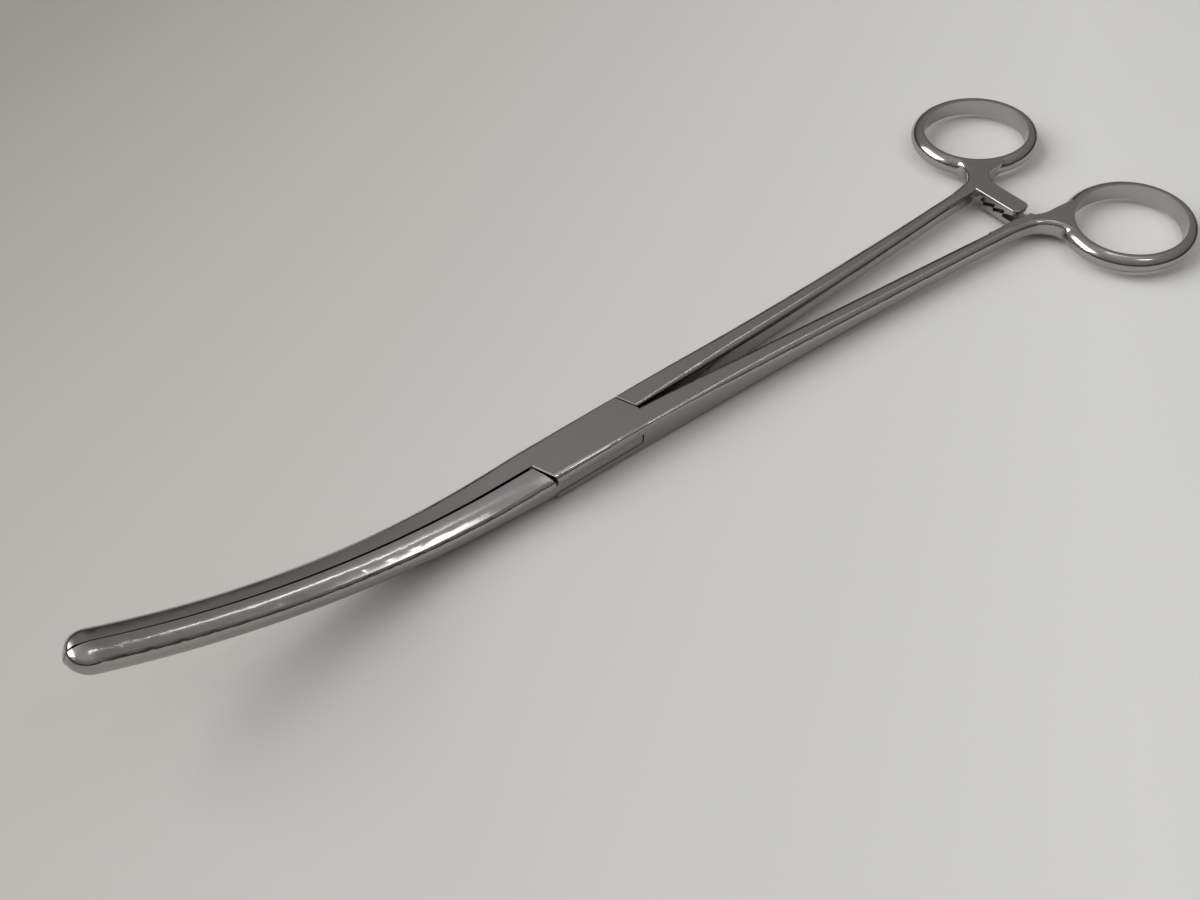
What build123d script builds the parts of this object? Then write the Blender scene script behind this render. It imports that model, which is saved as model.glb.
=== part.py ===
from build123d import *
import os
from math import asin, atan, cos, degrees, exp, pi, radians, sin, sqrt

os.makedirs("parts", exist_ok=True)

# Curved intestinal clamp, shut and latched, in millimetres.
# +X runs to the finger rings, +Z is up. The origin is on the rivet's axis, on the box's lower face.
# Both halves are made about the mid plane of their thickness, then lifted so that the box stands on Z = 0.

# Box joint
box_length = 24.8
box_half_width = 4.9
box_height = 6.8
box_front_corner = 1.3
box_rear_corner = 0.6
step_lead = 2.2
step_gap = 0.42
step_bevel = 0.25
shoulder_bevel = 0.12
tongue_height = 2.1
tongue_gap = 0.18
tongue_inset = 0.06
tongue_root = 0.8
tongue_shelf = 0.12
tongue_crotch = 0.5
slot_radius = 11.4
slot_end_gap = 0.28
slot_shelf = 0.02
crotch_half_gap = 0.3
rivet_diameter = 3.2
rivet_gap = 0.04

# Jaws
jaw_straight = 6.5
jaw_curve_radius = 143.0
jaw_sweep = 31.0
jaw_tip_half_width = 3.55
jaw_tip_half_height = 2.45
jaw_waist = 0.35
far_jaw_crown = 0.3
near_jaw_crown = 0.55
jaw_corner = 1.5
least_crown = 0.01
far_jaw_blend = 28.0
near_jaw_blend = 9.0
near_jaw_root_arch = 0.7
near_jaw_drop = 0.2
near_jaw_tail = 3.2
jaw_spans = 9
jaw_root_gap = 0.5
jaw_tip_gap = 0.12
groove_count = 5
groove_pitch = 0.82
groove_width = 0.5
groove_depth = 0.34
groove_end_margin = 6.0

# Shanks
shank_end_x = 119.0
shank_end_offset = 7.75
shank_bow = 0.38
shank_taper = 3.5
shank_end_half_width = 1.62
shank_end_half_height = 2.12
shank_corner = 1.35
shank_corner_blend = 22.0
shank_crown = 0.2
shank_spans = 10

# Finger rings
ring_hole_front_x = 129.43
ring_hole_inner_y = 10.95
ring_hole_half_length = 14.92
ring_hole_half_width = 11.98
ring_wire_width = 2.8
ring_height = 4.2
ring_crest = 0.65

# Neck between shank and ring
neck_height = 4.1
neck_lateral_turn = 200.0
neck_medial_turn = 258.0
neck_crease_turn = 209.0
neck_lateral_round = 1.0
neck_medial_round = 0.35
neck_crease_round = 1.4

# Ratchet arms
arm_front_x = 123.9
arm_width = 5.3
arm_reach = 5.3
arm_root_y = 5.9
arm_corner_round = 1.5
arm_edge_round = 0.3
tooth_count = 3
tooth_pitch = 2.85
tooth_first = -2.0
tooth_depth = 0.85
tooth_ramp = 0.88
tooth_tip_gap = 0.12
tooth_mesh_gap = 0.15

# Values worked out from the sizes above
half_height = box_height / 2
root_x = box_length / 2
root_half_width = (box_half_width - crotch_half_gap) / 2
root_offset = (box_half_width + crotch_half_gap) / 2
side_y = box_half_width + jaw_root_gap / 2
jaw_length = jaw_straight + jaw_curve_radius * radians(jaw_sweep)
jaw_body = jaw_length - jaw_tip_half_width
step_slope = step_lead / side_y
tongue_radius = slot_radius - slot_end_gap
ring_centre_x = ring_hole_front_x + ring_hole_half_length
ring_centre_y = ring_hole_inner_y + ring_hole_half_width

# Reach of the cutting shapes past the steel, so that no cut ends inside it
clear_height = 60.0
clear_width = 9.0


# A bar's section: a rectangle with rounded corners and, where crown is more than 0, arched faces
def bar_section(half_width, half_rise, crown, corner):
    low = half_rise - crown
    face = Line((-half_width, low), (half_width, low))
    if crown > least_crown:
        face = ThreePointArc((-half_width, low), (0, half_rise), (half_width, low))
    back = face.mirror(Plane.XZ)
    sides = [Line((side * half_width, -low), (side * half_width, low)) for side in (1, -1)]
    outline = make_face([face, back, *sides])
    return fillet(outline.vertices(), corner)


# A plan outline carried through a height about the mid plane
def plan_prism(outline, height=clear_height):
    return Pos(0, 0, -height / 2) * extrude(make_face(outline), amount=height)


# Plane square to the jaws' centre line, at a distance ahead of the box
def jaw_plane(distance):
    turn = max(distance - jaw_straight, 0) / jaw_curve_radius
    ahead = min(distance, jaw_straight) + jaw_curve_radius * sin(turn)
    rise = jaw_curve_radius * (1 - cos(turn))
    return Plane(origin=(-root_x - ahead, 0, rise), x_dir=(0, 1, 0), z_dir=(cos(turn), 0, -sin(turn)))


# The box's outer block, rounder at its front than at its rear
def box_block():
    place = Plane(origin=(-root_x, 0, 0), x_dir=(0, 1, 0), z_dir=(1, 0, 0))
    front = place * bar_section(box_half_width, half_height, 0, box_front_corner)
    rear = place.offset(box_length) * bar_section(box_half_width, half_height, 0, box_rear_corner)
    return loft([front, rear], ruled=True)


# Both jaws as one curved rod with a round tip, arched from root_arch to full over the blend length
def jaw_rod(start, crown, blend, root_arch, drop):
    sections = []
    for step in range(jaw_spans + 1):
        distance = start + (jaw_body - start) * step / jaw_spans
        fall = max(distance, 0) / jaw_body
        half_width = box_half_width + (jaw_tip_half_width - box_half_width) * fall
        half_width -= jaw_waist * 4 * fall * (1 - fall)
        half_rise = half_height - drop + (jaw_tip_half_height - half_height + drop) * fall
        arched = 1 - (1 - root_arch) * exp(-(fall * jaw_body / blend) ** 2)
        outline = bar_section(half_width, half_rise, crown * half_rise * arched,
                              box_front_corner + (jaw_corner - box_front_corner) * arched)
        sections.append(jaw_plane(distance) * outline)
    end = jaw_plane(jaw_body)
    half = split(sections[-1], Plane(origin=end.origin, z_dir=(0, 1, 0)))
    tip = revolve(half, Axis(end.origin, end.y_dir), revolution_arc=180)
    return loft(sections) + tip


# The far shank, which begins beside the box
def shank():
    sections = []
    for step in range(-1, shank_spans + 1):
        x = root_x + (shank_end_x - root_x) * step / shank_spans
        behind = max(x - root_x, 0)
        along = behind / (shank_end_x - root_x)
        bowed = (1 - shank_bow) * along + shank_bow * along ** 2
        offset = root_offset + (shank_end_offset - root_offset) * bowed
        half_width = root_half_width + (shank_end_half_width - root_half_width) * along ** 1.5
        fall = (1 - along) ** shank_taper * (1 + shank_taper * along)
        half_rise = shank_end_half_height + (half_height - shank_end_half_height) * fall
        corner = shank_corner + (box_rear_corner - shank_corner) * exp(-(behind / shank_corner_blend) ** 2)
        crown = shank_crown * sin(pi * along) ** 2
        place = Plane(origin=(x, offset, 0), x_dir=(0, 1, 0), z_dir=(1, 0, 0))
        sections.append(place * bar_section(half_width, half_rise, crown, corner))
    return loft(sections)


# The far finger ring, an oval wire with a flat inner wall
def finger_ring():
    bore = Location((ring_centre_x, ring_centre_y, 0))
    path = bore * Ellipse(ring_hole_half_length, ring_hole_half_width).wire()
    start = path.position_at(0)
    place = Plane(origin=start, x_dir=(1, 0, 0), z_dir=(0, 1, 0))
    flank = ring_wire_width - ring_crest
    cut = degrees(pi - atan(sqrt(1 - (ring_crest / flank) ** 2) / (ring_crest / flank)))
    outside = EllipticalCenterArc((ring_crest, 0), flank, ring_height / 2, start_angle=-cut, arc_size=2 * cut)
    return sweep(place * make_face([outside, Line(outside @ 1, outside @ 0)]), path)


# Point in plan by its angle round the far ring, on the wire's crest or another distance out of the hole
def ring_point(turn, out=ring_crest):
    return (ring_centre_x + (ring_hole_half_length + out) * cos(radians(turn)),
            ring_centre_y + (ring_hole_half_width + out) * sin(radians(turn)))


# Plan points from the corner where the far ratchet arm's front meets the shank
def from_arm(*points):
    return [(arm_front_x + ahead, arm_root_y + out) for ahead, out in points]


# Rounds the top and bottom edges of a prism's curved side that passes nearest a plan point
def round_side(body, point, radius):
    rims = body.edges().group_by(Axis.Z)
    picked = []
    for rim in (rims[0], rims[-1]):
        level = rim[0].center().Z
        picked.append(rim.filter_by(GeomType.BSPLINE).sort_by_distance((*point, level))[0])
    return fillet(picked, radius)


# The far neck, flat on both faces, which ends under the ring's crest
def neck():
    hidden = (ring_centre_x - ring_hole_half_length / 2, ring_centre_y - ring_hole_half_width / 3)
    lateral = from_arm((-10.9, 2.55), (-5.9, 3.35), (-1.9, 3.9), (1.1, 4.7), (3.2, 6.1), (4.7, 8.1),
                       (5.3, 10.3))
    lateral.append(ring_point(neck_lateral_turn))
    medial = from_arm((12.5, 3.7), (8.7, 3.4), (5.1, 2.9), (2.5, 1.7), (-0.3, 0.7), (-4.4, 0.32),
                      (-10.9, -0.05))
    medial.insert(0, ring_point(neck_medial_turn))
    inside = Polyline(lateral[-1], hidden, medial[0])
    front = Line(medial[-1], lateral[0])
    block = plan_prism([Spline(*lateral), inside, Spline(*medial), front], neck_height)
    block = round_side(block, lateral[4], neck_lateral_round)
    block = round_side(block, medial[2], neck_medial_round)
    disc = Ellipse(ring_hole_half_length + ring_crest, ring_hole_half_width + ring_crest)
    disc = extrude(disc, amount=clear_height)
    return block - Pos(ring_centre_x, ring_centre_y, -clear_height / 2) * disc


# The far neck and ring as one, with a hollow round in the crease at the neck's outer side
def limb_end():
    body = neck() + finger_ring()
    crease = (*ring_point(neck_crease_turn, ring_wire_width), 0)
    return fillet(body.edges().sort_by_distance(crease)[0], neck_crease_round)


# The far ratchet arm in the upper half of the thickness, with its teeth facing down
def ratchet_arm(first_tip):
    flare = from_arm((arm_width, -1.4), (5.7, 0.5), (7.0, 2.3), (9.3, 4.0), (12.1, 4.8))
    root = from_arm((8.1, 7.1), (3.7, 5.1), (0, 2.1))
    end = [(arm_front_x, -arm_reach), (arm_front_x + arm_width, -arm_reach)]
    sides = Polyline(flare[-1], *root, *end, flare[0])
    flare = Spline(*flare, tangents=((0, 1), (1, 0.1)))
    blank = extrude(make_face([flare, sides]), amount=neck_height / 2)
    blank = fillet(blank.edges().filter_by(Axis.Z).group_by(Axis.Y)[0], arm_corner_round)
    rim = blank.edges().group_by(Axis.Z)[-1].filter_by(
        lambda edge: edge.center().X < root[0][0] and edge.center().Y < (arm_root_y + root[0][1]) / 2)
    blank = fillet(rim, arm_edge_round)
    low = tooth_tip_gap / 2
    high = low + tooth_depth
    steps = [(arm_root_y, -neck_height), (arm_root_y, high)]
    for tooth in range(tooth_count):
        tip_y = -(first_tip + tooth * tooth_pitch)
        steps += [(tip_y, high), (tip_y, low), (tip_y - tooth_ramp * tooth_pitch, high)]
    steps += [(-arm_reach - clear_width, high), (-arm_reach - clear_width, -neck_height)]
    place = Plane(origin=(arm_front_x, 0, 0), x_dir=(0, 1, 0), z_dir=(1, 0, 0))
    cutter = extrude(place * make_face(Polyline(*steps, close=True)), amount=arm_width + clear_width)
    return blank - cutter


# Plan region of the slot through the box, or of the tongue in it
def slot_region(radius, shelf, root, width, length):
    start = sqrt(radius ** 2 - shelf ** 2)
    edge = sqrt(radius ** 2 - width ** 2)
    turn = asin(width / radius) / 2
    bend = radius * cos(turn)
    side = radius * sin(turn)
    return [ThreePointArc((-start, shelf), (-bend, side), (-edge, width)),
            Polyline((-edge, width), (length, width), (length, root), (start, shelf), (start, -shelf)),
            ThreePointArc((start, -shelf), (bend, -side), (edge, -width)),
            Polyline((edge, -width), (-length, -width), (-length, -root), (-start, -shelf), (-start, shelf))]


# Plan region of the near jaw, ahead of the step at the box's front. Side 1 takes the jaw gap with it.
def jaw_region(side):
    back = step_gap * sqrt(1 + step_slope ** 2) if side < 0 else 0
    length = jaw_length + clear_width
    root = side * jaw_root_gap / 2
    tip = side * (jaw_root_gap + (jaw_tip_gap - jaw_root_gap) * length / jaw_length) / 2
    corner = -root_x - back + step_slope * (jaw_root_gap / 2 - root)
    outer = corner + step_slope * (root + clear_width)
    return Polyline((-root_x - length, tip), (corner, root), (outer, -clear_width),
                    (-root_x - length, -clear_width), close=True)


# Plan region ahead of the step at the box's rear, which the far shank stays clear of
def box_region():
    corner = root_x + step_gap * sqrt(1 + step_slope ** 2) - step_slope * jaw_root_gap / 2
    low = corner + step_slope * jaw_root_gap * 4
    high = corner - step_slope * clear_width
    return Polyline((low, -jaw_root_gap * 4), (high, clear_width), (-box_length, clear_width),
                    (-box_length, -jaw_root_gap * 4), close=True)


# Cutter that bevels a straight edge of the box's top face, and its twin on the lower face
def edge_bevel(start, end, size):
    length = sqrt((end[0] - start[0]) ** 2 + (end[1] - start[1]) ** 2)
    turn = degrees(atan((end[1] - start[1]) / (end[0] - start[0])))
    bar = Box(length, size * sqrt(2), size * sqrt(2)).rotate(Axis.X, 45).rotate(Axis.Z, turn)
    mid = ((start[0] + end[0]) / 2, (start[1] + end[1]) / 2)
    return Pos(*mid, half_height) * bar + Pos(*mid, -half_height) * bar


# Rake of fine grooves that runs along the far jaw's inner face
def groove_rake():
    hub = Axis((-root_x - jaw_straight, 0, jaw_curve_radius), (0, 1, 0))
    valleys = Sketch()
    for index in range(groove_count):
        mid = (index - (groove_count - 1) / 2) * groove_pitch
        valleys += make_face(Polyline((-groove_depth, mid - groove_width), (groove_depth, mid),
                                      (-groove_depth, mid + groove_width), close=True))
    place = Plane(origin=(-root_x - jaw_straight, 0, 0), x_dir=(0, 1, 0), z_dir=(1, 0, 0))
    margin = degrees(groove_end_margin / jaw_curve_radius)
    rake = revolve(place * valleys, hub, revolution_arc=jaw_sweep - 2 * margin).rotate(hub, margin)
    lean = degrees(atan((jaw_root_gap - jaw_tip_gap) / 2 / jaw_length))
    rake = rake.rotate(Axis((-root_x, 0, 0), (0, 0, 1)), lean)
    return Pos(0, jaw_root_gap / 2, 0) * rake


block = box_block()
far_rod = jaw_rod(0, far_jaw_crown, far_jaw_blend, 0, 0)
near_rod = jaw_rod(-near_jaw_tail, near_jaw_crown, near_jaw_blend, near_jaw_root_arch, near_jaw_drop)
rake = groove_rake()
far_shank = shank()
near_shank = split(far_shank.rotate(Axis.X, 180), Plane(origin=(root_x, 0, 0), z_dir=(1, 0, 0)))
far_end = limb_end()
rivet = Cylinder(rivet_diameter / 2, box_height)

slot = slot_region(slot_radius, slot_shelf, slot_shelf, clear_width, box_length)
slot = plan_prism(slot, tongue_height + 2 * tongue_gap)
near_limb = near_shank + (far_end + ratchet_arm(tooth_first)).rotate(Axis.X, 180)
step_cut = plan_prism(jaw_region(1))
step_end = (-root_x + step_slope * clear_width, jaw_root_gap / 2 - clear_width)
step_edge = edge_bevel((-root_x, jaw_root_gap / 2), step_end, step_bevel)
box_half = block + far_rod + near_limb - step_cut - step_cut.rotate(Axis.Z, 180)
box_half = box_half - step_edge - slot - rivet - rake

tongue_half_width = box_half_width - tongue_inset
tongue = slot_region(tongue_radius, tongue_shelf, tongue_crotch, tongue_half_width, root_x + tongue_root)
tongue = plan_prism(tongue, tongue_height) - Cylinder(rivet_diameter / 2 + rivet_gap, box_height)
mesh_first = -(tooth_first + (tooth_count - 1) * tooth_pitch) + tooth_mesh_gap
near_jaw = (near_rod & plan_prism(jaw_region(-1))) - rake.mirror(Plane.XZ)
shoulder_x = root_x + step_gap * sqrt(1 + step_slope ** 2)
shoulder_end = (shoulder_x - step_slope * clear_width, clear_width - jaw_root_gap / 2)
shoulder = edge_bevel((shoulder_x, -jaw_root_gap / 2), shoulder_end, shoulder_bevel)
far_limb = (far_shank + far_end + ratchet_arm(mesh_first)) - plan_prism(box_region()) - shoulder
insert_half = near_jaw + far_limb + tongue

for name, solid in (("box_half", box_half), ("insert_half", insert_half), ("pivot_pin", rivet)):
    export_step(Pos(0, 0, half_height) * solid, "parts/" + name + ".step")
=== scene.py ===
from math import radians
import bpy
from mathutils import Euler, Matrix, Vector

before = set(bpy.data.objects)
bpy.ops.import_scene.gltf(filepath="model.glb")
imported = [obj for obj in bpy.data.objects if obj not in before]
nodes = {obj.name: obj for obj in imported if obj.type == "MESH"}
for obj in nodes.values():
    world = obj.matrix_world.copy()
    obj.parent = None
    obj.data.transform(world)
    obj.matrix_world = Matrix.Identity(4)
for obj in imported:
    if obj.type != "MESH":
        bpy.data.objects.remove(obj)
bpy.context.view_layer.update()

# Curved intestinal clamp of polished stainless steel, shut and latched.
# The frame is in metres: +X to the finger rings, +Z up, the origin under the rivet.


def toLinear(hexColour):
    # sRGB hex to the linear values that the nodes want
    parts = [int(hexColour[i:i + 2], 16) / 255 for i in (1, 3, 5)]
    return [p / 12.92 if p <= 0.04045 else ((p + 0.055) / 1.055) ** 2.4 for p in parts] + [1.0]


def addNode(tree, kind, settings=None, inputs=None):
    # one node, its settings, and its sockets set to values or linked to other sockets
    node = tree.nodes.new(kind)
    for name, value in (settings or {}).items():
        setattr(node, name, value)
    for name, value in (inputs or {}).items():
        socket = node.inputs[name]
        if isinstance(value, bpy.types.NodeSocket):
            tree.links.new(value, socket)
        else:
            socket.default_value = value
    return node


def newMaterial(name):
    material = bpy.data.materials.new(name)
    material.use_nodes = True
    tree = material.node_tree
    tree.nodes.clear()
    return material, tree


# Stainless steel, drop forged, ground on its flats and buffed on its round sides.
# The buffed steel mirrors the room softly, and the ground flats are greyer and duller,
# with fine lines along them.
steelLook = {
    "buffedColour": "#ABA8A4",
    "groundColour": "#A3A19E",
    "buffedRoughness": 0.16,
    "groundRoughness": 0.33,
    "roughnessSwing": 0.06,     # hand buffing leaves the shine uneven by this much
    "flatNormal": 0.985,        # how squarely a face must look up or down to count as ground
    "flatFade": 0.05,           # and how softly the ground finish ends at its edges
    "grindPitch": 0.00025,      # 0.25 mm between grinding lines, coarser than real so that they show
    "grindRun": 1 / 60,         # a grinding line runs on for about 17 mm
    "grindDetail": 3.0,
    "grindDepth": 0.00001,      # 0.01 mm
    "grindStrength": 0.3,
    "wavePitch": 0.004,         # 4 mm ripple left by hand buffing
    "waveDetail": 2.0,
    "waveDepth": 0.00003,       # 0.03 mm
    "waveStrength": 0.4,
}


def clampSteel():
    look = steelLook
    material, tree = newMaterial("buffedStainlessSteel")
    place = addNode(tree, "ShaderNodeTexCoord")
    split = addNode(tree, "ShaderNodeSeparateXYZ", inputs={"Vector": place.outputs["Normal"]})
    upright = addNode(tree, "ShaderNodeMath", {"operation": "ABSOLUTE"}, {0: split.outputs["Z"]})
    ground = addNode(tree, "ShaderNodeMapRange", {"interpolation_type": "SMOOTHSTEP"},
                     {"Value": upright.outputs[0], "From Min": look["flatNormal"] - look["flatFade"],
                      "From Max": look["flatNormal"]})
    stretch = (1 / look["grindRun"], 1 / look["grindPitch"], 1 / look["grindPitch"])
    along = addNode(tree, "ShaderNodeMapping", inputs={"Vector": place.outputs["Object"], "Scale": stretch})
    lines = addNode(tree, "ShaderNodeTexNoise", inputs={
        "Vector": along.outputs[0], "Scale": 1.0, "Detail": look["grindDetail"]})
    ripple = addNode(tree, "ShaderNodeTexNoise", inputs={
        "Vector": place.outputs["Object"], "Scale": 1 / look["wavePitch"], "Detail": look["waveDetail"]})
    shine = addNode(tree, "ShaderNodeMix", {"data_type": "FLOAT"}, {
        0: ground.outputs[0], 2: look["buffedRoughness"], 3: look["groundRoughness"]})
    uneven = addNode(tree, "ShaderNodeMath", {"operation": "MULTIPLY_ADD"}, {
        0: ripple.outputs["Fac"], 1: look["roughnessSwing"], 2: -look["roughnessSwing"] / 2})
    rough = addNode(tree, "ShaderNodeMath", {"operation": "ADD"}, {0: shine.outputs[0], 1: uneven.outputs[0]})
    colour = addNode(tree, "ShaderNodeMix", {"data_type": "RGBA"}, {
        0: ground.outputs[0], 6: toLinear(look["buffedColour"]), 7: toLinear(look["groundColour"])})
    grain = addNode(tree, "ShaderNodeBump", inputs={
        "Height": lines.outputs["Fac"], "Distance": look["grindDepth"], "Strength": look["grindStrength"]})
    waves = addNode(tree, "ShaderNodeBump", inputs={
        "Height": ripple.outputs["Fac"], "Distance": look["waveDepth"], "Strength": look["waveStrength"],
        "Normal": grain.outputs[0]})
    steel = addNode(tree, "ShaderNodeBsdfPrincipled", inputs={
        "Base Color": colour.outputs[2], "Metallic": 1.0, "Roughness": rough.outputs[0],
        "Normal": waves.outputs[0]})
    addNode(tree, "ShaderNodeOutputMaterial", inputs={"Surface": steel.outputs[0]})
    return material


steel = clampSteel()
for name in ("box_half", "insert_half", "pivot_pin"):
    for slot in nodes[name].material_slots:
        slot.material = steel
print("steel on", len(nodes), "nodes")


# The table top and the room
roomLook = {
    "floorPaintedShade": "#97958B",      # the white table top at the far left, darkened there as painted shade
    "floorPaintedLight": "#E6E5E3",   # and at the near right, paler there as painted light
    "floorRoughness": 0.7,
    "floorHalfSize": 3.0,
    "floorDrop": 0.0001,        # 0.1 mm under the clamp, so that the two faces never fight
    "paintedShadeCourse": (0.61, -0.79, 0),   # the way along the table top in which its painted shade turns into painted light
    "paintedShadeFrom": -0.2,           # metres along that way from the rivet
    "paintedShadeTo": 0.1,
    # pairs of height and grey, from the horizon to overhead
    "skyGreys": ((0.0, 0.03), (0.2, 0.06), (0.34, 0.24), (0.6, 0.30), (0.78, 0.36), (0.9, 0.48),
                 (1.0, 0.55)),
}


def tableTop():
    material, tree = newMaterial("whiteTableTop")
    place = addNode(tree, "ShaderNodeTexCoord")
    course = addNode(tree, "ShaderNodeVectorMath", {"operation": "DOT_PRODUCT"}, {
        0: place.outputs["Object"], 1: roomLook["paintedShadeCourse"]})
    # painted shade on the white table top: darker towards the far left and paler towards the near right
    paintedShadeFade = addNode(tree, "ShaderNodeMapRange", inputs={
        "Value": course.outputs["Value"], "From Min": roomLook["paintedShadeFrom"], "From Max": roomLook["paintedShadeTo"]})
    tone = addNode(tree, "ShaderNodeMix", {"data_type": "RGBA"}, {
        0: paintedShadeFade.outputs[0], 6: toLinear(roomLook["floorPaintedShade"]), 7: toLinear(roomLook["floorPaintedLight"])})
    face = addNode(tree, "ShaderNodeBsdfPrincipled", inputs={
        "Base Color": tone.outputs[2], "Roughness": roomLook["floorRoughness"]})
    addNode(tree, "ShaderNodeOutputMaterial", inputs={"Surface": face.outputs[0]})
    level = -roomLook["floorDrop"]
    bpy.ops.mesh.primitive_plane_add(size=2 * roomLook["floorHalfSize"], location=(0, 0, level))
    floor = bpy.context.object
    floor.name = "tableTop"
    floor.data.materials.append(material)


def roomLight():
    # a grey room that is dark near the horizon and lighter overhead
    world = bpy.data.worlds.new("room")
    bpy.context.scene.world = world
    world.use_nodes = True
    tree = world.node_tree
    tree.nodes.clear()
    look = addNode(tree, "ShaderNodeTexCoord")
    split = addNode(tree, "ShaderNodeSeparateXYZ", inputs={"Vector": look.outputs["Generated"]})
    ramp = addNode(tree, "ShaderNodeValToRGB", inputs={"Fac": split.outputs["Z"]})
    stops = ramp.color_ramp.elements
    stops.remove(stops[1])
    for height, grey in roomLook["skyGreys"]:
        stop = stops.new(height) if height > 0 else stops[0]
        stop.color = (grey, grey, grey, 1)
    glow = addNode(tree, "ShaderNodeBackground", inputs={"Color": ramp.outputs[0], "Strength": 1.0})
    addNode(tree, "ShaderNodeOutputWorld", inputs={"Surface": glow.outputs[0]})


def softPanel(name, place, aim, size, power):
    light = bpy.data.lights.new(name, "AREA")
    light.shape = "RECTANGLE"
    light.size, light.size_y = size
    light.energy = power
    lamp = bpy.data.objects.new(name, light)
    bpy.context.scene.collection.objects.link(lamp)
    lamp.location = place
    lamp.rotation_euler = (Vector(aim) - Vector(place)).to_track_quat("-Z", "Y").to_euler()


# Where each lamp stands, where it points, its width and height in metres and its watts
lamps = {
    "windowPanel": ((1.22, -1.1, 2.5), (0.03, 0, 0), (0.34, 0.44), 2.4),
    "ceilingTube": ((0.52, 0.02, 0.8), (0.52, 0.02, 0), (0.46, 0.018), 0.28),
    "farPanel": ((-0.75, 0.65, 0.85), (0.03, 0, 0), (1.2, 1.0), 14.5),
    "leftPanel": ((-1.1, 0.05, 0.72), (0.03, 0, 0), (0.5, 0.4), 0.3),
}

tableTop()
roomLight()
for name, setting in lamps.items():
    softPanel(name, *setting)
print("room and lamps set")

# The camera stands where the photograph was taken from
view = {
    "place": (-0.08183, -0.10234, 0.15746),
    "azimuth": -39.82,
    "elevation": 49.73,
    "roll": 2.06,
    "lens": 31.84,              # millimetres, on the sensor below
    "sensor": 36,
    "nearest": 0.01,
}


def photoCamera():
    data = bpy.data.cameras.new("photoCamera")
    data.lens = view["lens"]
    data.sensor_width = view["sensor"]
    data.clip_start = view["nearest"]
    camera = bpy.data.objects.new("photoCamera", data)
    bpy.context.scene.collection.objects.link(camera)
    turn = Euler((radians(90 - view["elevation"]), 0, radians(view["azimuth"]))).to_matrix()
    turn = turn @ Matrix.Rotation(radians(view["roll"]), 3, "Z")
    camera.matrix_world = Matrix.Translation(view["place"]) @ turn.to_4x4()
    bpy.context.scene.camera = camera


photoCamera()
bpy.context.scene.view_settings.view_transform = "Standard"
print("camera set")
